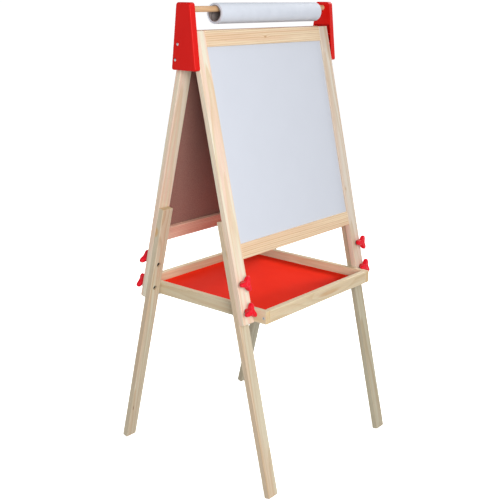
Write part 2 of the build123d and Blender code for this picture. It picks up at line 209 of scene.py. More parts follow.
def tidy_mesh(mesh: bpy.types.Mesh, sharp_degrees: float = 35.0) -> bpy.types.Mesh:
    """Merge a mesh's doubles, face it outwards and shade it.

    Args:
        mesh: The mesh, which is changed.
        sharp_degrees: Edges turning by more than this stay sharp.

    Returns:
        The same mesh.
    """
    work = bmesh.new()
    work.from_mesh(mesh)
    bmesh.ops.remove_doubles(work, verts=work.verts, dist=1e-6)
    bmesh.ops.recalc_face_normals(work, faces=work.faces)
    work.to_mesh(mesh)
    work.free()
    mesh.polygons.foreach_set("use_smooth", [True] * len(mesh.polygons))
    mesh.set_sharp_from_angle(angle=math.radians(sharp_degrees))
    return mesh


def new_piece(name: str, mesh: bpy.types.Mesh, body: str,
              stands_for: Sequence[str]) -> bpy.types.Object:
    """Add a finished piece that stands for CAD nodes.

    Args:
        name: The piece's name.
        mesh: Its mesh, in metres in the row frame.
        body: The CAD body it rides on.
        stands_for: The CAD nodes it replaces.

    Returns:
        The new object.
    """
    piece = bpy.data.objects.new(name, mesh)
    bpy.context.scene.collection.objects.link(piece)
    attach(piece, body)
    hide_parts(*stands_for)
    LOG.info("built %s on %s, for %s", name, body, ", ".join(stands_for))
    return piece


def grow(tree: bpy.types.NodeTree, seed: bpy.types.Mesh,
         sizes: dict[str, object]) -> bpy.types.Mesh:
    """Run a geometry tree on a mesh and freeze what it makes.

    Args:
        tree: The geometry tree.
        seed: The mesh that the tree starts from.
        sizes: A value for each of the tree's named inputs.

    Returns:
        A plain mesh.
    """
    holder = bpy.data.objects.new("holder", seed)
    bpy.context.scene.collection.objects.link(holder)
    modifier = holder.modifiers.new("grow", "NODES")
    modifier.node_group = tree
    sockets = {item.name: item.identifier for item in tree.interface.items_tree
               if item.item_type == "SOCKET" and item.in_out == "INPUT"}
    for name, value in sizes.items():
        modifier[sockets[name]] = value
    graph = bpy.context.evaluated_depsgraph_get()
    made = bpy.data.meshes.new_from_object(holder.evaluated_get(graph))
    holder.modifiers.remove(modifier)
    bpy.data.objects.remove(holder)
    return made


def geometry_tree(name: str, sizes: dict[str, str]) -> tuple[bpy.types.NodeTree, bpy.types.Node]:
    """Start a geometry tree with named inputs.

    Args:
        name: The tree's name.
        sizes: Each input's name and its socket type.

    Returns:
        The tree and its input node.
    """
    tree = bpy.data.node_groups.new(name, "GeometryNodeTree")
    tree.interface.new_socket("Geometry", in_out="INPUT", socket_type="NodeSocketGeometry")
    for size, kind in sizes.items():
        tree.interface.new_socket(size, in_out="INPUT", socket_type=kind)
    tree.interface.new_socket("Geometry", in_out="OUTPUT", socket_type="NodeSocketGeometry")
    return tree, tree.nodes.new("NodeGroupInput")


# ---------------------------------------------------------------- finishes


@dataclass(frozen=True)
class Knot:
    """A knot or pitch mark, measured from its board's middle in millimetres."""

    along: float
    across: float
    depth: float = 0.0
    radii: tuple[float, float, float] = (6.0, 4.0, 60.0)
    swirl: float = 5.0
    colour: str = "#A9703F"
    strength: float = 0.75


@dataclass(frozen=True)
class Board:
    """How one piece of timber was cut from its log.

    The grain runs along the first axis and the third axis goes into the board.
    The pith is the middle of the log, across and into the board in millimetres.
    """

    centre: Vector
    along: Vector
    inward: Vector
    pith: tuple[float, float] = (8.0, 70.0)
    taper: float = 0.012
    seed: float = 0.0
    knots: tuple[Knot, ...] = ()

    def turn(self) -> Euler:
        """The turn from the row frame to the board's own axes."""
        across = self.inward.cross(self.along)
        return Matrix((self.along, across, self.inward)).transposed().to_euler()


@dataclass(frozen=True)
class Pine:
    """Radiata pine, machine planed and left unfinished.

    It is pale, with faint yellow growth rings 3 to 6 mm apart, fine fibre lines about 1 mm
    wide along the grain, and cream and pink drifts of tone about 11 mm wide. Its end grain is
    close to the same tone, and it has almost no gloss.
    """

    early: str = "#E9E1CB"
    tint: str = "#EBCFBA"
    late: str = "#D9BB90"
    end: str = "#FFF4E2"
    ring_mm: float = 4.6
    contrast: float = 0.6
    wander_mm: float = 5.0

    def material(self, name: str, board: Board) -> bpy.types.Material:
        """Make the finish for one board.

        Args:
            name: The board's name.
            board: How it was cut.

        Returns:
            The material.
        """
        material, tree, shader = new_material("pine_" + name)
        coordinates = node(tree, "ShaderNodeTexCoord")
        place = node(tree, "ShaderNodeMapping", {
            "Vector": coordinates.outputs["Object"], "Location": board.centre,
            "Rotation": board.turn(), "Scale": (MM, MM, MM)}, vector_type="TEXTURE")
        marks = [self.knot_fields(tree, place, knot) for knot in board.knots]
        rings = self.rings(tree, place, board, marks)
        fibre = self.noise(tree, place, (0.02, 0.9, 0.9), board.seed + 3.0, 4.0)
        drift = self.noise(tree, place, (0.003, 0.09, 0.09), board.seed + 7.0, 1.0)
        drifted = node(tree, "ShaderNodeMapRange", {
            "Value": drift, "From Min": 0.42, "From Max": 0.58})
        base = node(tree, "ShaderNodeMix", {
            "Factor": drifted, "A": linear(self.early), "B": linear(self.tint)}, data_type="RGBA")
        wood = node(tree, "ShaderNodeMix", {
            "Factor": rings, "A": base, "B": linear(self.late)}, data_type="RGBA")
        lines = node(tree, "ShaderNodeMapRange", {
            "Value": fibre, "From Min": 0.3, "From Max": 0.7, "To Min": 0.9, "To Max": 1.03})
        wood = node(tree, "ShaderNodeMix", {
            "Factor": 1.0, "A": wood, "B": lines}, data_type="RGBA", blend_type="MULTIPLY")
        wood = self.resin_dashes(tree, place, board, wood)
        for (mask, _), knot in zip(marks, board.knots):
            wood = node(tree, "ShaderNodeMix", {
                "Factor": mask, "A": wood, "B": linear(knot.colour)}, data_type="RGBA")
        facing = node(tree, "ShaderNodeVectorMath", {
            0: coordinates.outputs["Normal"], 1: board.along}, operation="DOT_PRODUCT")
        facing = node(tree, "ShaderNodeMath", {0: facing}, operation="ABSOLUTE")
        facing = node(tree, "ShaderNodeMapRange", {
            "Value": facing, "From Min": 0.6, "From Max": 0.9})
        wood = node(tree, "ShaderNodeMix", {
            "Factor": facing, "A": wood, "B": linear(self.end)}, data_type="RGBA",
            blend_type="MULTIPLY")
        gloss = node(tree, "ShaderNodeMapRange", {
            "Value": fibre, "From Min": 0.3, "From Max": 0.7, "To Min": 0.62, "To Max": 0.48})
        grain = node(tree, "ShaderNodeMath", {0: rings, 1: 0.4, 2: fibre}, operation="MULTIPLY_ADD")
        bump = node(tree, "ShaderNodeBump", {
            "Strength": 0.35, "Distance": 0.15 * MM, "Height": grain})
        wire(tree, shader, Base_Color=wood, Roughness=gloss, Normal=bump, Specular_IOR_Level=0.35)
        return material

    @staticmethod
    def noise(tree: bpy.types.NodeTree, place: bpy.types.Node, per_mm: tuple[float, float, float],
              seed: float, detail: float) -> bpy.types.Node:
        """Noise stretched along the grain.

        Args:
            tree: The material's tree.
            place: The board's own coordinates, in millimetres.
            per_mm: How fast the noise changes along, across and into the board.
            seed: Which board it is.
            detail: How many finer layers it has.

        Returns:
            The noise node.
        """
        stretched = node(tree, "ShaderNodeVectorMath", {0: place, 1: per_mm}, operation="MULTIPLY")
        return node(tree, "ShaderNodeTexNoise", {
            "Vector": stretched, "W": seed, "Scale": 1.0, "Detail": detail}, noise_dimensions="4D")

    @staticmethod
    def knot_fields(tree: bpy.types.NodeTree, place: bpy.types.Node,
                    knot: Knot) -> tuple[bpy.types.Node, bpy.types.Node]:
        """The dark core of a knot and the wider field that bends the rings round it.

        Args:
            tree: The material's tree.
            place: The board's own coordinates, in millimetres.
            knot: The knot.

        Returns:
            The core's mask and the bend of the rings in millimetres.
        """
        away = node(tree, "ShaderNodeVectorMath", {
            0: place, 1: (knot.along, knot.across, knot.depth)}, operation="SUBTRACT")
        scaled = node(tree, "ShaderNodeVectorMath", {0: away, 1: knot.radii}, operation="DIVIDE")
        squared = node(tree, "ShaderNodeVectorMath", {
            0: scaled, 1: scaled}, operation="DOT_PRODUCT")
        core = node(tree, "ShaderNodeMapRange", {
            "Value": squared, "From Min": 1.3, "From Max": 0.25, "To Min": 0.0,
            "To Max": knot.strength})
        wide = node(tree, "ShaderNodeMath", {0: math.exp(-1 / 6), 1: squared}, operation="POWER")
        bend = node(tree, "ShaderNodeMath", {0: wide, 1: knot.swirl}, operation="MULTIPLY")
        return core, bend

    def rings(self, tree: bpy.types.NodeTree, place: bpy.types.Node, board: Board,
              marks: Sequence[tuple[bpy.types.Node, bpy.types.Node]]) -> bpy.types.Node:
        """Growth rings round a wandering pith: soft towards the bark, sharp where growth stopped.

        Args:
            tree: The material's tree.
            place: The board's own coordinates, in millimetres.
            board: How the board was cut.
            marks: The masks and bends of its knots.

        Returns:
            How dark the late wood is, from 0 to 1.
        """
        wander = self.noise(tree, place, (0.0035, 0.02, 0.02), board.seed, 2.0)
        sway = 2 * self.wander_mm
        swayed = node(tree, "ShaderNodeVectorMath", {
            0: wander.outputs["Color"], 1: (0.0, sway, sway), 2: place}, operation="MULTIPLY_ADD")
        pith = (0.0, board.pith[0] + sway / 2, board.pith[1] + sway / 2)
        from_pith = node(tree, "ShaderNodeVectorMath", {0: swayed, 1: pith}, operation="SUBTRACT")
        across = node(tree, "ShaderNodeVectorMath", {
            0: from_pith, 1: (0.0, 1.0, 1.0)}, operation="MULTIPLY")
        radius = node(tree, "ShaderNodeVectorMath", {0: across}, operation="LENGTH")
        along = node(tree, "ShaderNodeSeparateXYZ", {0: place}).outputs["X"]
        radius = node(tree, "ShaderNodeMath", {0: along, 1: board.taper, 2: radius},
                      operation="MULTIPLY_ADD")
        for _, bend in marks:
            radius = node(tree, "ShaderNodeMath", {0: radius, 1: bend}, operation="ADD")
        count = node(tree, "ShaderNodeMath", {0: radius, 1: self.ring_mm}, operation="DIVIDE")
        year = node(tree, "ShaderNodeMath", {0: count}, operation="FLOOR")
        part = node(tree, "ShaderNodeMath", {0: count}, operation="FRACT")
        season = node(tree, "ShaderNodeValToRGB", {"Fac": part}, stops=(
            (0.0, grey(0.0)), (1.0, grey(0.0)), (0.45, grey(0.12)),
            (0.8, grey(0.9)), (0.92, grey(1.0))))
        lot = node(tree, "ShaderNodeTexWhiteNoise", {"W": year}, noise_dimensions="1D")
        strength = node(tree, "ShaderNodeMapRange", {
            "Value": lot, "To Min": 0.35 * self.contrast, "To Max": self.contrast})
        return node(tree, "ShaderNodeMath", {0: season, 1: strength}, operation="MULTIPLY")

    def resin_dashes(self, tree: bpy.types.NodeTree, place: bpy.types.Node, board: Board,
                     wood: bpy.types.Node) -> bpy.types.Node:
        """Short brown resin ducts, about 0.6 mm wide and 12 mm long.

        Args:
            tree: The material's tree.
            place: The board's own coordinates, in millimetres.
            board: How the board was cut.
            wood: The colour so far.

        Returns:
            The colour with the ducts drawn.
        """
        ducts = self.noise(tree, place, (0.08, 1.6, 1.6), board.seed + 11.0, 0.0)
        mask = node(tree, "ShaderNodeMapRange", {
            "Value": ducts, "From Min": 0.72, "From Max": 0.8, "To Min": 0.0, "To Max": 0.35})
        return node(tree, "ShaderNodeMix", {
            "Factor": mask, "A": wood, "B": linear("#A87B4E")}, data_type="RGBA")


@dataclass(frozen=True)
class CoatedHardboard:
    """Hardboard 3.2 mm thick, coated on one side and bare brown fibre on the other.

    The coat is a smooth film that follows the board's slight waves, with drifts of tone about
    80 mm across. The bare side is felted wood fibre, in clumps of about 2 mm, with the print of
    the wire screen it was pressed on.
    """

    coat: str
    shade: str
    roughness: float
    waves: float = 0.15
    dust: str = ""
    gloss: float = 0.5
    fibre: str = "#A07468"
    fibre_dark: str = "#80584E"

    def material(self, name: str, centre: Vector, inward: Vector,
                 coat_mm: float) -> bpy.types.Material:
        """Make the finish for one panel.

        Args:
            name: The panel's name.
            centre: The panel's middle.
            inward: Unit vector from the coated face to the bare one.
            coat_mm: The coat's limit along that vector, from the middle.

        Returns:
            The material.
        """
        material, tree, shader = new_material("hardboard_" + name)
        coordinates = node(tree, "ShaderNodeTexCoord").outputs["Object"]
        turn = inward.to_track_quat("Z", "Y").to_euler()
        place = node(tree, "ShaderNodeMapping", {
            "Vector": coordinates, "Location": centre, "Rotation": turn,
            "Scale": (MM, MM, MM)}, vector_type="TEXTURE")
        depth = node(tree, "ShaderNodeSeparateXYZ", {0: place}).outputs["Z"]
        bare = node(tree, "ShaderNodeMath", {0: depth, 1: coat_mm}, operation="GREATER_THAN")
        cloud = node(tree, "ShaderNodeTexNoise", {"Vector": place, "Scale": 0.012, "Detail": 3.0})
        film = node(tree, "ShaderNodeMix", {
            "Factor": cloud, "A": linear(self.coat), "B": linear(self.shade)}, data_type="RGBA")
        if self.dust:
            smear = node(tree, "ShaderNodeVectorMath", {0: place, 1: (0.01, 0.028, 0.01)},
                         operation="MULTIPLY")
            smear = node(tree, "ShaderNodeTexNoise", {
                "Vector": smear, "Scale": 1.0, "Detail": 6.0, "Roughness": 0.62, "Distortion": 0.8})
            chalk = node(tree, "ShaderNodeMapRange", {
                "Value": smear, "From Min": 0.45, "From Max": 0.75, "To Min": 0.0, "To Max": 0.3})
            film = node(tree, "ShaderNodeMix", {
                "Factor": chalk, "A": film, "B": linear(self.dust)}, data_type="RGBA")
        felt = node(tree, "ShaderNodeTexNoise", {
            "Vector": place, "Scale": 0.5, "Detail": 5.0, "Roughness": 0.7})
        spread = node(tree, "ShaderNodeMapRange", {
            "Value": felt, "From Min": 0.35, "From Max": 0.65})
        brown = node(tree, "ShaderNodeMix", {
            "Factor": spread, "A": linear(self.fibre_dark), "B": linear(self.fibre)},
            data_type="RGBA")
        colour = node(tree, "ShaderNodeMix", {
            "Factor": bare, "A": film, "B": brown}, data_type="RGBA")
        rubbed = node(tree, "ShaderNodeMapRange", {
            "Value": cloud, "From Min": 0.3, "From Max": 0.7,
            "To Min": self.roughness * 0.97, "To Max": self.roughness * 1.04})
        rough = node(tree, "ShaderNodeMix", {
            "Factor": bare, "A": rubbed, "B": 0.85}, data_type="FLOAT")
        # The screen's wires are really 0.8 mm apart, and drawn at 1.6 mm so that they show.
        screen = node(tree, "ShaderNodeTexChecker", {"Vector": place, "Scale": 1.25})
        rough_height = node(tree, "ShaderNodeMath", {0: screen.outputs["Fac"], 1: 0.3, 2: felt},
                            operation="MULTIPLY_ADD")
        wave = node(tree, "ShaderNodeTexNoise", {"Vector": place, "Scale": 0.03, "Detail": 1.0})
        smooth_height = node(tree, "ShaderNodeMath", {0: wave, 1: self.waves}, operation="MULTIPLY")
        height = node(tree, "ShaderNodeMix", {
            "Factor": bare, "A": smooth_height, "B": rough_height}, data_type="FLOAT")
        bump = node(tree, "ShaderNodeBump", {
            "Strength": 0.5, "Distance": 0.4 * MM, "Height": height})
        wire(tree, shader, Base_Color=colour, Roughness=rough, Normal=bump,
             Specular_IOR_Level=self.gloss)
        return material


@dataclass(frozen=True)
class MouldedPlastic:
    """Injection-moulded ABS or nylon, coloured through.

    It has a saturated colour with very faint flow marks about 70 mm long, and the mould gives it
    a soft gloss with a slight ripple and scuffs of about 4 mm.
    """

    name: str
    colour: str
    deep: str
    roughness: float
    ripple: float = 0.2
    gloss: float = 0.5

    def material(self) -> bpy.types.Material:
        """Make the finish."""
        material, tree, shader = new_material(self.name)
        coordinates = node(tree, "ShaderNodeTexCoord").outputs["Object"]
        flow = node(tree, "ShaderNodeTexNoise", {
            "Vector": coordinates, "Scale": 14.0, "Detail": 2.0, "Distortion": 0.6})
        colour = node(tree, "ShaderNodeMix", {
            "Factor": flow, "A": linear(self.deep), "B": linear(self.colour)}, data_type="RGBA")
        scuff = node(tree, "ShaderNodeTexNoise", {
            "Vector": coordinates, "Scale": 240.0, "Detail": 3.0})
        rough = node(tree, "ShaderNodeMapRange", {
            "Value": scuff, "From Min": 0.3, "From Max": 0.75,
            "To Min": self.roughness * 0.85, "To Max": self.roughness * 1.4})
        # Mould ripple about 4 mm from crest to crest.
        wave = node(tree, "ShaderNodeTexNoise", {
            "Vector": coordinates, "Scale": 250.0, "Detail": 1.0})
        bump = node(tree, "ShaderNodeBump", {
            "Strength": self.ripple, "Distance": 0.08 * MM, "Height": wave})
        wire(tree, shader, Base_Color=colour, Roughness=rough, Normal=bump, IOR=1.53,
             Specular_IOR_Level=self.gloss)
        return material


@dataclass(frozen=True)
class TurnedMetal:
    """Small steel or brass hardware, turned or pressed, then plated or left bright.

    It is fully metallic, with fine stains under 2 mm across and a little dulling.
    """

    name: str
    colour: str
    dull: str
    roughness: float

    def material(self) -> bpy.types.Material:
        """Make the finish."""
        material, tree, shader = new_material(self.name)
        coordinates = node(tree, "ShaderNodeTexCoord").outputs["Object"]
        stain = node(tree, "ShaderNodeTexNoise", {
            "Vector": coordinates, "Scale": 600.0, "Detail": 4.0})
        colour = node(tree, "ShaderNodeMix", {
            "Factor": stain, "A": linear(self.dull), "B": linear(self.colour)}, data_type="RGBA")
        rough = node(tree, "ShaderNodeMapRange", {
            "Value": stain, "From Min": 0.3, "From Max": 0.7,
            "To Min": self.roughness * 0.8, "To Max": self.roughness * 1.3})
        bump = node(tree, "ShaderNodeBump", {
            "Strength": 0.15, "Distance": 0.03 * MM, "Height": stain})
        wire(tree, shader, Base_Color=colour, Metallic=1.0, Roughness=rough, Normal=bump)
        return material


@dataclass(frozen=True)
class DrawingPaper:
    """White cartridge paper on a roll: matt, faintly cool, with a felt-side tooth of 0.7 mm."""

    white: str = "#D8DDE6"
    shade: str = "#C9CED8"

    def material(self) -> bpy.types.Material:
        """Make the finish."""
        material, tree, shader = new_material("drawing_paper")
        coordinates = node(tree, "ShaderNodeTexCoord").outputs["Object"]
        cloud = node(tree, "ShaderNodeTexNoise", {
            "Vector": coordinates, "Scale": 30.0, "Detail": 2.0})
        colour = node(tree, "ShaderNodeMix", {
            "Factor": cloud, "A": linear(self.shade), "B": linear(self.white)}, data_type="RGBA")
        tooth = node(tree, "ShaderNodeTexNoise", {
            "Vector": coordinates, "Scale": 1500.0, "Detail": 3.0})
        bump = node(tree, "ShaderNodeBump", {
            "Strength": 0.2, "Distance": 0.05 * MM, "Height": tooth})
        wire(tree, shader, Base_Color=colour, Roughness=0.72, Normal=bump)
        return material


@dataclass(frozen=True)
class WoundCardboard:
    """Grey chipboard tube, wound from a strip at a slant: dull, speckled, with a spiral seam."""

    board: str = "#9A8F8C"
    fleck: str = "#6F6462"
    seam_pitch_mm: float = 62.0

    def material(self, centre: Vector) -> bpy.types.Material:
        """Make the finish for a tube along X.

        Args:
            centre: A point on the tube's axis.

        Returns:
            The material.
        """
        material, tree, shader = new_material("wound_cardboard")
        coordinates = node(tree, "ShaderNodeTexCoord").outputs["Object"]
        place = node(tree, "ShaderNodeMapping", {
            "Vector": coordinates, "Location": centre, "Scale": (MM, MM, MM)},
            vector_type="TEXTURE")
        parts = node(tree, "ShaderNodeSeparateXYZ", {0: place})
        angle = node(tree, "ShaderNodeMath", {0: parts.outputs["Y"], 1: parts.outputs["Z"]},
                     operation="ARCTAN2")
        turns = node(tree, "ShaderNodeMath", {0: angle, 1: 2 * math.pi}, operation="DIVIDE")
        seam = node(tree, "ShaderNodeMath", {
            0: parts.outputs["X"], 1: 1 / self.seam_pitch_mm, 2: turns}, operation="MULTIPLY_ADD")
        seam = node(tree, "ShaderNodeMath", {0: seam}, operation="FRACT")
        line = node(tree, "ShaderNodeMath", {0: seam, 1: 0.03}, operation="LESS_THAN")
        flecks = node(tree, "ShaderNodeTexNoise", {"Vector": place, "Scale": 0.6, "Detail": 5.0})
        colour = node(tree, "ShaderNodeMix", {
            "Factor": flecks, "A": linear(self.fleck), "B": linear(self.board)}, data_type="RGBA")
        colour = node(tree, "ShaderNodeMix", {
            "Factor": line, "A": colour, "B": linear("#544A48")}, data_type="RGBA")
        bump = node(tree, "ShaderNodeBump", {
            "Strength": 0.4, "Distance": 0.1 * MM, "Height": flecks})
        wire(tree, shader, Base_Color=colour, Roughness=0.9, Normal=bump)
        return material


STILE_PINE = Pine(contrast=0.72)
RAIL_PINE = Pine(early="#EBD5B4", tint="#E6C6A4", late="#C89E6E", ring_mm=4.4, contrast=0.85,
                 wander_mm=2.2)
# Pinker than the front rails: painted red light bounced from the tray, not a tone of the wood.
RED_BOUNCE_RAIL_PINE = Pine(early="#EDCDB6", tint="#E6B9A2", late="#C6866E", ring_mm=4.4, contrast=0.85,
                      wander_mm=2.2)
# Darker copies of the stile and leg finishes for the right-hand timbers: painted shade of the light
# falling off to the right.
RIGHT_SHADED_STILE_PINE = Pine(early="#DDD2C2", tint="#D8C3B0", late="#C6AC88", contrast=0.72)
RIGHT_SHADED_LEG_PINE = Pine(early="#BFB79E", tint="#BAAC92", late="#A48E6C", ring_mm=4.2, contrast=0.7)
LEG_PINE = Pine(early="#D4C9AF", tint="#D3BDA1", late="#BE9D73", ring_mm=4.2, contrast=0.7)
TRAY_PINE = Pine(early="#DCCDAE", tint="#D9C3A0", late="#C4A576", ring_mm=5.0, contrast=0.5)
DOWEL_WOOD = Pine(early="#DDB78B", tint="#D6AB80", late="#C39465", end="#D8B088",
                  ring_mm=2.4, contrast=0.35, wander_mm=2.0)
# Near black: painted shade of the recesses that the leg bolt heads sit in. The leg washers wear it
# too.
SHADE_DARKENED_STEEL = TurnedMetal("blackened_steel", "#4A4744", "#262422", 0.42)
ZINC = TurnedMetal("zinc_plated_steel", "#C9CCD0", "#8E9196", 0.3)
BRASS = TurnedMetal("turned_brass", "#D3AC57", "#A98238", 0.28)
CAP_RED = MouldedPlastic("moulded_red_abs", "#DC140B", "#D20F08", 0.36, ripple=0.25, gloss=0.1)
KNOB_CRIMSON = MouldedPlastic("moulded_crimson_abs", "#EE0C28", "#DA0820", 0.3,
                             ripple=0.2, gloss=0.2)
NYLON = MouldedPlastic("natural_nylon", "#E4E1D4", "#D8D4C4", 0.45)


# ---------------------------------------------------------------- sub-assemblies


class Leaf(Enum):
    """The two leaning frames, by the way each one faces."""

    FRONT = 1
    REAR = -1


@dataclass
class BoardFrame:
    """One leaning frame: two stiles, two rails, a board, two legs and their hidden pins."""

    leaf: Leaf
    panel_node: str
    panel: CoatedHardboard
    coat_mm: float = -1.0
    knots: dict[str, tuple[Knot, ...]] = field(default_factory=dict)

    def __post_init__(self) -> None:
        """Read the frame's directions from one of its knob joints."""
        self.name = self.leaf.name.lower()
        _, outward = joint_line(f"{self.name}_left_upper_knob_turn")
        self.inward = -outward
        self.slope = (outward.cross(X_AXIS) * self.leaf.value).normalized()
        self.slope = self.slope if self.slope.z > 0 else -self.slope
        self.across = self.slope.cross(self.inward)

    def board(self, part: str, along: Vector, seed: float, pith: tuple[float, float]) -> Board:
        """How one of the frame's timbers was cut.

        Args:
            part: The timber's name within the frame.
            along: The direction of its grain.
            seed: Its own number.
            pith: Where its log's middle lies.

        Returns:
            The board.
        """
        node_name = f"{self.name}_{part}"
        return Board(centre_of(node_name), along, self.inward, pith=pith, seed=seed,
                     knots=self.knots.get(part, ()))

    def build(self) -> None:
        """Dress every piece of the frame."""
        first = 20.0 if self.leaf is Leaf.FRONT else 60.0
        # The rear rails take the pinker finish, which holds painted red bounce light from the tray.
        rail_pine = RAIL_PINE if self.leaf is Leaf.FRONT else RED_BOUNCE_RAIL_PINE
        # The right stiles and legs take the darker copies, which hold painted shade of light
        # falling off to the right.
        timbers = (
            ("left_stile", STILE_PINE, self.slope, (5.0, 62.0)),
            ("right_stile", RIGHT_SHADED_STILE_PINE, self.slope, (-14.0, 58.0)),
            ("left_leg", LEG_PINE, self.slope, (16.0, 44.0)),
            ("right_leg", RIGHT_SHADED_LEG_PINE, self.slope, (-9.0, 50.0)),
            ("top_rail", rail_pine, self.across, (-52.0, 26.0)),
            ("bottom_rail", rail_pine, self.across, (56.0, 24.0)),
        )
        for i, (part, finish, along, pith) in enumerate(timbers):
            node_name = f"{self.name}_{part}"
            board = self.board(part, along, first + 5.3 * i, pith)
            dress_node(node_name, finish.material(node_name, board))
        panel_finish = self.panel.material(
            self.panel_node, centre_of(self.panel_node), self.inward, self.coat_mm)
        dress_node(self.panel_node, panel_finish)
        pins = f"{self.name}_frame_pins"
        pin_board = self.board("frame_pins", self.across, first, (3.0, 9.0))
        dress_node(pins, DOWEL_WOOD.material(pins, pin_board))


@dataclass
class PaperRoll:
    """The dowel, the cardboard core and the paper wound on it."""

    turns: int = 14
    segments_per_turn: int = 56
    sheet_share: float = 0.9
    ragged_mm: float = 0.7

    def paper_tree(self, paper: bpy.types.Material) -> bpy.types.NodeTree:
        """The rule of the winding: a thin sheet follows a spiral, with slightly uneven ends.

        Args:
            paper: The paper's finish.

        Returns:
            The geometry tree.
        """
        tree, sizes = geometry_tree("wound_paper", {
            "Inner radius": "NodeSocketFloat", "Outer radius": "NodeSocketFloat",
            "Turns": "NodeSocketFloat", "Segments": "NodeSocketInt", "Sheet": "NodeSocketFloat",
            "Length": "NodeSocketFloat", "Ragged": "NodeSocketFloat", "Centre": "NodeSocketVector"})
        spiral = node(tree, "GeometryNodeCurveSpiral", {
            "Resolution": sizes.outputs["Segments"], "Rotations": sizes.outputs["Turns"],
            "Start Radius": sizes.outputs["Inner radius"],
            "End Radius": sizes.outputs["Outer radius"],
            "Height": 0.0})
        section = node(tree, "GeometryNodeCurvePrimitiveQuadrilateral", {
            "Width": sizes.outputs["Sheet"], "Height": sizes.outputs["Length"]})
        sheet = node(tree, "GeometryNodeCurveToMesh", {
            "Curve": spiral, "Profile Curve": section, "Fill Caps": True})
        position = node(tree, "GeometryNodeInputPosition")
        parts = node(tree, "ShaderNodeSeparateXYZ", {0: position})
        flat = node(tree, "ShaderNodeVectorMath", {
            0: position, 1: (1.0, 1.0, 0.0)}, operation="MULTIPLY")
        radius = node(tree, "ShaderNodeVectorMath", {0: flat}, operation="LENGTH")
        # The noise changes from one layer of the winding to the next, about 0.4 mm apart.
        uneven = node(tree, "ShaderNodeTexNoise", {
            "W": radius, "Scale": 1400.0, "Detail": 1.0}, noise_dimensions="1D")
        end = node(tree, "ShaderNodeMath", {0: parts.outputs["Z"]}, operation="SIGN")
        back = node(tree, "ShaderNodeMath", {
            0: uneven, 1: sizes.outputs["Ragged"]}, operation="MULTIPLY")
        back = node(tree, "ShaderNodeMath", {0: back, 1: end}, operation="MULTIPLY")
        back = node(tree, "ShaderNodeMath", {0: back, 1: -1.0}, operation="MULTIPLY")
        offset = node(tree, "ShaderNodeCombineXYZ", {"Z": back})
        sheet = node(tree, "GeometryNodeSetPosition", {"Geometry": sheet, "Offset": offset})
        laid = node(tree, "GeometryNodeTransform", {
            "Geometry": sheet, "Translation": sizes.outputs["Centre"],
            "Rotation": Euler((0.0, math.pi / 2, 0.0))})
        real = node(tree, "GeometryNodeRealizeInstances", {"Geometry": laid})
        done = node(tree, "GeometryNodeSetMaterial", {"Geometry": real, "Material": paper})
        node(tree, "NodeGroupOutput", {"Geometry": done})
        return tree

    def build(self) -> None:
        """Wind the paper and dress the core and the dowel."""
        low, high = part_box("paper_roll")
        core_low, core_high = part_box("roll_core")
        outer = (high.z - low.z) / 2
        inner = (core_high.z - core_low.z) / 2
        sheet = (outer - inner) / (self.turns + 1) * self.sheet_share
        paper = DrawingPaper().material()
        mesh = grow(self.paper_tree(paper), bpy.data.meshes.new("seed"), {
            "Inner radius": inner + sheet / 2, "Outer radius": outer - sheet / 2,
            "Turns": float(self.turns), "Segments": self.segments_per_turn, "Sheet": sheet,
            "Length": high.x - low.x, "Ragged": self.ragged_mm * MM, "Centre": (low + high) / 2})
        mesh.name = "wound_paper"
        new_piece("wound_paper", tidy_mesh(mesh), "roll", ["paper_roll"])
        dress_node("roll_core", WoundCardboard().material(centre_of("roll_core")))
        dowel = Board(centre_of("roll_dowel"), X_AXIS, Y_AXIS, pith=(4.0, 18.0), seed=91.0)
        dress_node("roll_dowel", DOWEL_WOOD.material("roll_dowel", dowel))


@dataclass
class EndCaps:
    """The two moulded caps, their pivot pins and the bushes in the front stiles."""

    sides: tuple[str, ...] = ("left", "right")

    def build(self, zinc: bpy.types.Material) -> None:
        """Dress the caps and their pivots.

        Args:
            zinc: The pivot pins' finish.
        """
        red, nylon = CAP_RED.material(), NYLON.material()
        for side in self.sides:
            dress_node(f"{side}_cap", red)
            dress_node(f"{side}_pivot_pin", zinc)
            dress_node(f"{side}_pivot_bush", nylon)


@dataclass
class Tray:
    """The lift-off tray: four rails round a painted board."""

    panel: CoatedHardboard
    front_figure: Knot = Knot(37.0, 0.0, radii=(52.0, 6.5, 40.0), swirl=14.0, colour="#C08A52",
                              strength=0.5)

    def build(self) -> None:
        """Dress the rails and the board."""
        rails = (
            ("tray_left_rail", Y_AXIS, X_AXIS, (6.0, 40.0), ()),
            ("tray_right_rail", Y_AXIS, -X_AXIS, (-8.0, 46.0), ()),
            ("tray_front_rail", X_AXIS, Y_AXIS, (10.0, 38.0), (self.front_figure,)),
            ("tray_rear_rail", X_AXIS, -Y_AXIS, (-6.0, 52.0), ()),
        )
        for i, (name, along, inward, pith, knots) in enumerate(rails):
            board = Board(centre_of(name), along, inward, pith=pith,
                          seed=120.0 + 4.7 * i, knots=knots)
            dress_node(name, TRAY_PINE.material(name, board))
        finish = self.panel.material("tray_panel", centre_of("tray_panel"), -Z_AXIS, -1.0)
        dress_node("tray_panel", finish)


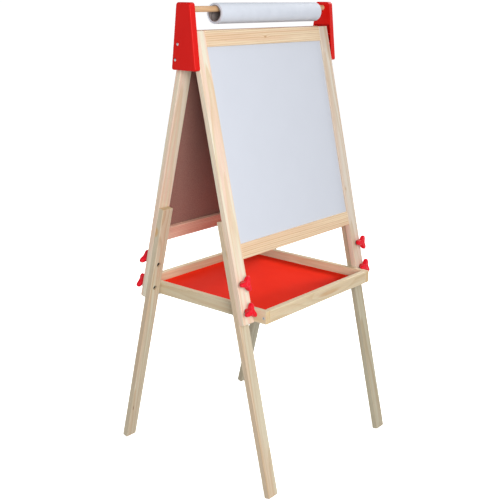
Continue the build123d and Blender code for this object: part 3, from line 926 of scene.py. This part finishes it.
@dataclass
class StarKnob:
    """A three-lobed hand knob on one leg bolt, with its brass insert.

    Each ring of the body is a height, a hub radius and how far it swells to the lobes, all
    from the knob's base upwards.
    """

    name: str
    waist: float = 8.8
    lobe_reach: float = 22.7
    lobe_sharpness: float = 1.5
    around: int = 72
    bore: tuple[tuple[float, float], ...] = (
        (16.0, 0.0), (16.0, 3.05), (13.1, 3.05), (13.1, 4.55), (0.0, 4.55))
    rings: tuple[tuple[float, float, float], ...] = (
        (0.0, 7.3, 0.0), (0.7, 8.1, 0.0), (5.0, 8.3, 0.0), (8.2, 8.5, 0.05), (9.2, 8.8, 0.45),
        (9.7, 8.8, 0.78), (10.9, 8.8, 0.94), (12.8, 8.8, 1.0), (17.4, 8.8, 0.99), (19.4, 8.8, 0.93),
        (20.6, 8.8, 0.78), (21.1, 8.6, 0.52), (21.0, 8.4, 0.24), (21.0, 7.9, 0.03),
        (21.8, 7.2, 0.0),
        (22.0, 6.4, 0.0), (21.9, 5.6, 0.0), (21.2, 5.0, 0.0), (21.0, 0.0, 0.0))

    def outline(self, angle: float) -> float:
        """The star's radius in millimetres at an angle from its first lobe."""
        lobe = ((1 + math.cos(3 * angle)) / 2) ** self.lobe_sharpness
        return self.waist + (self.lobe_reach - self.waist) * lobe

    def place(self) -> Matrix:
        """Where the CAD knob sits: its base, its bolt's axis and its resting turn."""
        on_axis, axis = joint_line(f"{self.name}_turn")
        base, _ = extent_along(self.name, axis)
        origin = on_axis + axis * (base - on_axis.dot(axis))
        side = axis.cross(X_AXIS).normalized()
        up = axis.cross(side)
        lobes = 0j
        for vertex in frame["nodes"][self.name].data.vertices:
            away = vertex.co - origin
            lobes += complex(away.dot(side), away.dot(up)) ** 3
        turn = math.atan2(lobes.imag, lobes.real) / 3
        frame_axes = Matrix((side, up, axis)).transposed()
        spin = Matrix.Rotation(turn, 3, "Z")
        return Matrix.Translation(origin) @ (frame_axes @ spin).to_4x4()

    def mesh(self) -> bpy.types.Mesh:
        """The knob's closed body, bored for its insert."""
        work = bmesh.new()
        profile = [(height, radius, 0.0) for height, radius in self.bore] + list(self.rings)
        rows = []
        for height, radius, swell in profile:
            if radius == 0.0:
                rows.append([work.verts.new((0.0, 0.0, height * MM))])
                continue
            row = []
            for i in range(self.around):
                angle = 2 * math.pi * i / self.around
                reach = (radius + swell * (self.outline(angle) - radius)) * MM
                row.append(work.verts.new((
                    reach * math.cos(angle), reach * math.sin(angle), height * MM)))
            rows.append(row)
        for lower, upper in zip(rows, rows[1:]):
            for i in range(self.around):
                j = (i + 1) % self.around
                corners = [lower[i % len(lower)], lower[j % len(lower)],
                           upper[j % len(upper)], upper[i % len(upper)]]
                work.faces.new(list(dict.fromkeys(corners)))
        work.transform(self.place())
        mesh = bpy.data.meshes.new(self.name + "_body")
        work.to_mesh(mesh)
        work.free()
        return tidy_mesh(mesh, 70.0)

    def build(self, plastic: bpy.types.Material, brass: bpy.types.Material) -> None:
        """Make the knob and dress its insert.

        Args:
            plastic: The knob's finish.
            brass: The insert's finish.
        """
        piece = new_piece(self.name + "_star", self.mesh(), self.name, [self.name])
        dress(piece, plastic)
        smooth = piece.modifiers.new("smooth", "SUBSURF")
        smooth.levels = smooth.render_levels = 1
        dress_node(self.name + "_insert", brass)


class Head(Enum):
    """The shape of a fastener's head."""

    PAN = "pan"
    COUNTERSUNK = "countersunk"


@dataclass
class Fasteners:
    """Screws or bolts of one kind on one body, each a turned shank and head with a cross recess."""

    name: str
    body: str
    stands_for: str
    head: Head
    head_radius: float
    head_height: float
    shank_radius: float
    length: float
    places: Sequence[tuple[Vector, Vector]] = ()
    recess_mm: float = 2.1
    slot_mm: float = 0.95
    around: int = 28
    along: int = 40

    def tree(self, metal: bpy.types.Material) -> bpy.types.NodeTree:
        """The rule of one fastener and its copies: lathe it, cut its cross, set one on each point.

        Args:
            metal: The finish.

        Returns:
            The geometry tree.
        """
        tree, sizes = geometry_tree(self.name + "_rule", {
            "Head radius": "NodeSocketFloat", "Head height": "NodeSocketFloat",
            "Shank radius": "NodeSocketFloat", "Length": "NodeSocketFloat",
            "Recess": "NodeSocketFloat", "Slot": "NodeSocketFloat"})
        size = sizes.outputs
        tip = node(tree, "ShaderNodeMath", {0: size["Length"], 1: -1.0}, operation="MULTIPLY")
        start = node(tree, "ShaderNodeCombineXYZ", {"Z": tip})
        end = node(tree, "ShaderNodeCombineXYZ", {"Z": size["Head height"]})
        head_line = node(tree, "GeometryNodeCurvePrimitiveLine", {"End": end})
        head_line = node(tree, "GeometryNodeResampleCurve", {
            "Curve": head_line, "Count": self.along})
        factor = node(tree, "GeometryNodeSplineParameter").outputs["Factor"]
        if self.head is Head.PAN:
            # A squared circle: nearly straight sides and a low dome.
            rise = node(tree, "ShaderNodeMath", {0: factor, 1: 3.0}, operation="POWER")
            rise = node(tree, "ShaderNodeMath", {0: 1.0002, 1: rise}, operation="SUBTRACT")
            share = node(tree, "ShaderNodeMath", {0: rise, 1: 0.5}, operation="POWER")
            radius = node(tree, "ShaderNodeMath", {
                0: share, 1: size["Head radius"]}, operation="MULTIPLY")
        else:
            radius = node(tree, "ShaderNodeMapRange", {
                "Value": factor, "To Min": size["Shank radius"], "To Max": size["Head radius"]})
        ring = node(tree, "GeometryNodeCurvePrimitiveCircle", {
            "Resolution": self.around, "Radius": 1.0})
        head = node(tree, "GeometryNodeCurveToMesh", {
            "Curve": head_line, "Profile Curve": ring, "Scale": radius, "Fill Caps": True})
        cross = node(tree, "GeometryNodeJoinGeometry")
        for x, y in (("Recess", "Slot"), ("Slot", "Recess")):
            wide = node(tree, "ShaderNodeMath", {0: size[x], 1: 2.0 if x == "Recess" else 1.0},
                        operation="MULTIPLY")
            tall = node(tree, "ShaderNodeMath", {0: size[y], 1: 2.0 if y == "Recess" else 1.0},
                        operation="MULTIPLY")
            bar_size = node(tree, "ShaderNodeCombineXYZ", {
                "X": wide, "Y": tall, "Z": size["Recess"]})
            bar = node(tree, "GeometryNodeMeshCube", {"Size": bar_size})
            bar = node(tree, "GeometryNodeTransform", {"Geometry": bar, "Translation": end})
            tree.links.new(bar.outputs[0], cross.inputs[0])
        head = node(tree, "GeometryNodeMeshBoolean", {"Mesh 1": head, "Mesh 2": cross},
                    operation="DIFFERENCE")
        shank_line = node(tree, "GeometryNodeCurvePrimitiveLine", {
            "Start": start, "End": (0.0, 0.0, 0.0)})
        shank = node(tree, "GeometryNodeCurveToMesh", {
            "Curve": shank_line, "Profile Curve": ring, "Scale": size["Shank radius"],
            "Fill Caps": True})
        whole = node(tree, "GeometryNodeJoinGeometry")
        tree.links.new(head.outputs[0], whole.inputs[0])
        tree.links.new(shank.outputs[0], whole.inputs[0])
        axis = node(tree, "GeometryNodeInputNamedAttribute", {
            "Name": "axis"}, data_type="FLOAT_VECTOR")
        stand = node(tree, "FunctionNodeAlignRotationToVector", {"Vector": axis}, axis="Z")
        chance = node(tree, "FunctionNodeRandomValue", {
            "Max": math.pi, "Seed": 4}, data_type="FLOAT")
        twist = node(tree, "FunctionNodeAxisAngleToRotation", {
            "Axis": (0.0, 0.0, 1.0), "Angle": chance})
        turned = node(tree, "FunctionNodeRotateRotation", {
            "Rotation": stand, "Rotate By": twist}, rotation_space="LOCAL")
        copies = node(tree, "GeometryNodeInstanceOnPoints", {
            "Points": sizes.outputs["Geometry"], "Instance": whole, "Rotation": turned})
        real = node(tree, "GeometryNodeRealizeInstances", {"Geometry": copies})
        done = node(tree, "GeometryNodeSetMaterial", {"Geometry": real, "Material": metal})
        node(tree, "NodeGroupOutput", {"Geometry": done})
        return tree

    def points(self) -> bpy.types.Mesh:
        """One vertex at each head's seat, with the way its head points."""
        mesh = bpy.data.meshes.new(self.name + "_places")
        mesh.from_pydata([place for place, _ in self.places], [], [])
        axes = mesh.attributes.new("axis", "FLOAT_VECTOR", "POINT")
        for i, (_, axis) in enumerate(self.places):
            axes.data[i].vector = axis
        return mesh

    def build(self, metal: bpy.types.Material) -> None:
        """Make the fasteners as one mesh.

        Args:
            metal: Their finish.
        """
        mesh = grow(self.tree(metal), self.points(), {
            "Head radius": self.head_radius * MM, "Head height": self.head_height * MM,
            "Shank radius": self.shank_radius * MM, "Length": self.length * MM,
            "Recess": self.recess_mm * MM, "Slot": self.slot_mm * MM})
        mesh.name = self.name
        new_piece(self.name, tidy_mesh(mesh), self.body, [self.stands_for])


@dataclass
class Hardware:
    """Every knob, bolt, screw, washer and peg, with sizes in millimetres."""

    bolt_head_radius: float = 5.5
    bolt_head_height: float = 3.2
    bolt_shank_radius: float = 3.0
    screw_head_radius: float = 4.0
    screw_shank_radius: float = 2.0
    cap_head_height: float = 2.4
    cap_screw_length: float = 34.0
    tray_sink: float = 2.0
    tray_screw_length: float = 40.0

    def knob_names(self, leaf: Leaf) -> list[str]:
        """The knobs of one frame."""
        name = leaf.name.lower()
        return [f"{name}_{side}_{level}_knob" for side in ("left", "right")
                for level in ("upper", "lower")]

    def leg_bolts(self, leaf: Leaf) -> Fasteners:
        """The four bolts of one frame, along their knobs' axes."""
        name = leaf.name.lower()
        node_name = f"{name}_leg_bolts"
        places = []
        for knob in self.knob_names(leaf):
            on_axis, outward = joint_line(knob + "_turn")
            low, high = extent_along(node_name, outward)
            seat = low + self.bolt_head_height * MM
            places.append((on_axis + outward * (seat - on_axis.dot(outward)), -outward))
        length = (high - seat) / MM
        return Fasteners(f"{name}_machine_bolts", f"{name}_frame", node_name, Head.PAN,
                         self.bolt_head_radius, self.bolt_head_height, self.bolt_shank_radius,
                         length, places)

    def cap_screws(self) -> Fasteners:
        """The four pan-head screws through the caps: on each side, one high and one low."""
        low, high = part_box("cap_screws")
        radius, height = self.screw_head_radius, self.cap_head_height
        spots = ((low.y + radius * MM, high.z - radius * MM),
                 (high.y - radius * MM, low.z + radius * MM))
        places = []
        for side in (-1, 1):
            for y, z in spots:
                places.append((Vector((side * (high.x - height * MM), y, z)), X_AXIS * side))
        return Fasteners("cap_pan_screws", "rear_frame", "cap_screws", Head.PAN, radius, height,
                         self.screw_shank_radius, self.cap_screw_length, places)

    def tray_screws(self) -> Fasteners:
        """The four countersunk screws in the ends of the tray's side rails."""
        low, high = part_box("tray_screws")
        radius, sink = self.screw_head_radius, self.tray_sink
        places = []
        for side in (-1, 1):
            for y in (low.y + radius * MM, high.y - radius * MM):
                seat = Vector((side * (high.x - sink * MM), y, (low.z + high.z) / 2))
                places.append((seat, X_AXIS * side))
        return Fasteners("tray_wood_screws", "tray", "tray_screws", Head.COUNTERSUNK, radius, sink,
                         self.screw_shank_radius, self.tray_screw_length, places)

    def build(self, zinc: bpy.types.Material) -> None:
        """Make the fasteners and knobs, and dress what stays from CAD.

        Args:
            zinc: The screws' and the tray pegs' finish.
        """
        brass, crimson, shade_darkened = BRASS.material(), KNOB_CRIMSON.material(), SHADE_DARKENED_STEEL.material()
        for leaf in Leaf:
            name = leaf.name.lower()
            # The bolts and washers get the near-black finish, which is painted shade of the bolt
            # recesses.
            self.leg_bolts(leaf).build(shade_darkened)
            dress_node(f"{name}_leg_washers", shade_darkened)
            for side in ("left", "right"):
                dress_node(f"{name}_{side}_tray_peg", zinc)
            for knob in self.knob_names(leaf):
                StarKnob(knob).build(crimson, brass)
        self.cap_screws().build(zinc)
        self.tray_screws().build(zinc)


# ---------------------------------------------------------------- studio


@dataclass(frozen=True)
class Softbox:
    """One square lamp: where it hangs, its side in metres, its power and the node it points at."""

    name: str
    place: tuple[float, float, float]
    side: float
    watts: float
    aim: str = ""


@dataclass
class Studio:
    """A plain pale floor, soft light and the camera."""

    softboxes: tuple[Softbox, ...] = (
        Softbox("key_softbox", (-1.75, -2.1, 1.45), 1.3, 60.0),
        Softbox("front_softbox", (-0.7, -2.9, 1.1), 1.0, 9.0),
        Softbox("rear_softbox", (1.2, 2.8, 1.6), 1.6, 32.0),
        Softbox("right_softbox", (2.3, 0.05, 2.0), 0.9, 52.0, "tray_panel"),
    )

    eye: tuple[float, float, float] = (-1.93375, -1.56099, 1.26942)
    heading: float = 50.598
    pitch: float = -15.864
    roll: float = 0.641
    lens: float = 65.56
    sensor: float = 36.0
    floor_half: float = 25.0
    wall_height: float = 12.0
    surround: float = 0.35
    floor_glow: float = 0.72

    def floor(self) -> None:
        """A matt off-white floor with far walls."""
        mesh = bpy.data.meshes.new("floor")
        half, wall = self.floor_half, self.wall_height
        corners = [(-half, -half), (half, -half), (half, half), (-half, half)]
        walls = [(i, i + 4, (i + 1) % 4 + 4, (i + 1) % 4) for i in range(4)]
        mesh.from_pydata([(x, y, z) for z in (0.0, wall) for x, y in corners], [],
                         [(0, 1, 2, 3)] + walls)
        floor = bpy.data.objects.new("studio_floor", mesh)
        bpy.context.scene.collection.objects.link(floor)
        material, tree, shader = new_material("studio_paper")
        coordinates = node(tree, "ShaderNodeTexCoord").outputs["Object"]
        cloud = node(tree, "ShaderNodeTexNoise", {
            "Vector": coordinates, "Scale": 1.5, "Detail": 2.0})
        colour = node(tree, "ShaderNodeMix", {
            "Factor": cloud, "A": linear("#F3F3F2"), "B": linear("#F7F7F6")}, data_type="RGBA")
        wire(tree, shader, Base_Color=colour, Roughness=0.9, Specular_IOR_Level=0.1,
             Emission_Color=grey(1.0), Emission_Strength=self.floor_glow)
        dress(floor, material)
        # The floor and its walls look white, but throw no light back on the wood.
        floor.visible_diffuse = False

    def world(self) -> None:
        """An even white surround."""
        world = bpy.data.worlds.new("studio")
        bpy.context.scene.world = world
        world.use_nodes = True
        background = world.node_tree.nodes["Background"]
        background.inputs["Color"].default_value = linear("#FBFCFF")
        background.inputs["Strength"].default_value = self.surround

    def lamp(self, softbox: Softbox) -> None:
        """Hang one softbox.

        Args:
            softbox: Which one. Without a node to point at, it points at the easel's middle.
        """
        light = bpy.data.lights.new(softbox.name, "AREA")
        light.shape = "SQUARE"
        light.size = softbox.side
        light.energy = softbox.watts
        lamp = bpy.data.objects.new(softbox.name, light)
        bpy.context.scene.collection.objects.link(lamp)
        place = Vector(softbox.place)
        aim = centre_of(softbox.aim) if softbox.aim else (CAD_BOX[0] + CAD_BOX[1]) / 2
        lamp.location = place
        lamp.rotation_euler = (aim - place).to_track_quat("-Z", "Y").to_euler()

    def camera(self) -> None:
        """Set the camera at its place, turned by its heading, pitch and roll."""
        yaw, pitch, roll = (math.radians(a) for a in (self.heading, self.pitch, self.roll))
        forward = Vector((math.sin(yaw) * math.cos(pitch), math.cos(yaw) * math.cos(pitch),
                          math.sin(pitch)))
        level = Vector((math.cos(yaw), -math.sin(yaw), 0.0))
        above = level.cross(forward)
        right = level * math.cos(roll) + above * math.sin(roll)
        up = above * math.cos(roll) - level * math.sin(roll)
        data = bpy.data.cameras.new("camera")
        data.lens = self.lens
        data.sensor_width = self.sensor
        camera = bpy.data.objects.new("camera", data)
        bpy.context.scene.collection.objects.link(camera)
        axes = Matrix((right, up, -forward)).transposed()
        camera.matrix_world = Matrix.Translation(Vector(self.eye)) @ axes.to_4x4()
        bpy.context.scene.camera = camera

    def build(self) -> None:
        """Set the whole studio."""
        self.floor()
        self.world()
        for softbox in self.softboxes:
            self.lamp(softbox)
        self.camera()
        bpy.context.scene.view_settings.view_transform = "Standard"


def main() -> None:
    """Build the easel's sub-assemblies in order, then the studio."""
    logging.basicConfig(level=logging.INFO, format="%(message)s")
    whiteboard = CoatedHardboard("#D0D4DD", "#CCD0D9", 0.34, waves=0.0, gloss=0.2)
    chalkboard = CoatedHardboard("#2C3130", "#272B2A", 0.8, dust="#8E9492")
    tray_board = CoatedHardboard("#F52B0B", "#EC2307", 0.6, waves=0.3, gloss=0.03)
    BoardFrame(Leaf.FRONT, "whiteboard_panel", whiteboard, knots={
        "top_rail": (Knot(8.0, -2.0, radii=(6.0, 2.6, 60.0), swirl=3.5, colour="#B98A5C"),),
        "right_stile": (Knot(-100.0, -11.0, radii=(5.0, 2.6, 60.0), swirl=3.0, colour="#BD9468",
                             strength=0.5),),
        "left_leg": (Knot(285.0, -18.0, -3.0, radii=(9.0, 30.0, 2.6), swirl=4.0, colour="#AFA590",
                          strength=0.5),),
    }).build()
    BoardFrame(Leaf.REAR, "chalkboard_panel", chalkboard, knots={
        "left_leg": (Knot(298.0, 18.0, -6.0, radii=(15.0, 30.0, 9.0), swirl=4.0, colour="#CF9A57",
                          strength=0.7),
                     Knot(-266.0, 9.7, 8.0, radii=(9.0, 1.5, 3.0), swirl=0.0, colour="#6A4326",
                          strength=0.9)),
    }).build()
    zinc = ZINC.material()
    EndCaps().build(zinc)
    PaperRoll().build()
    Tray(tray_board).build()
    Hardware().build(zinc)
    Studio().build()


if __name__ == "__main__":
    main()
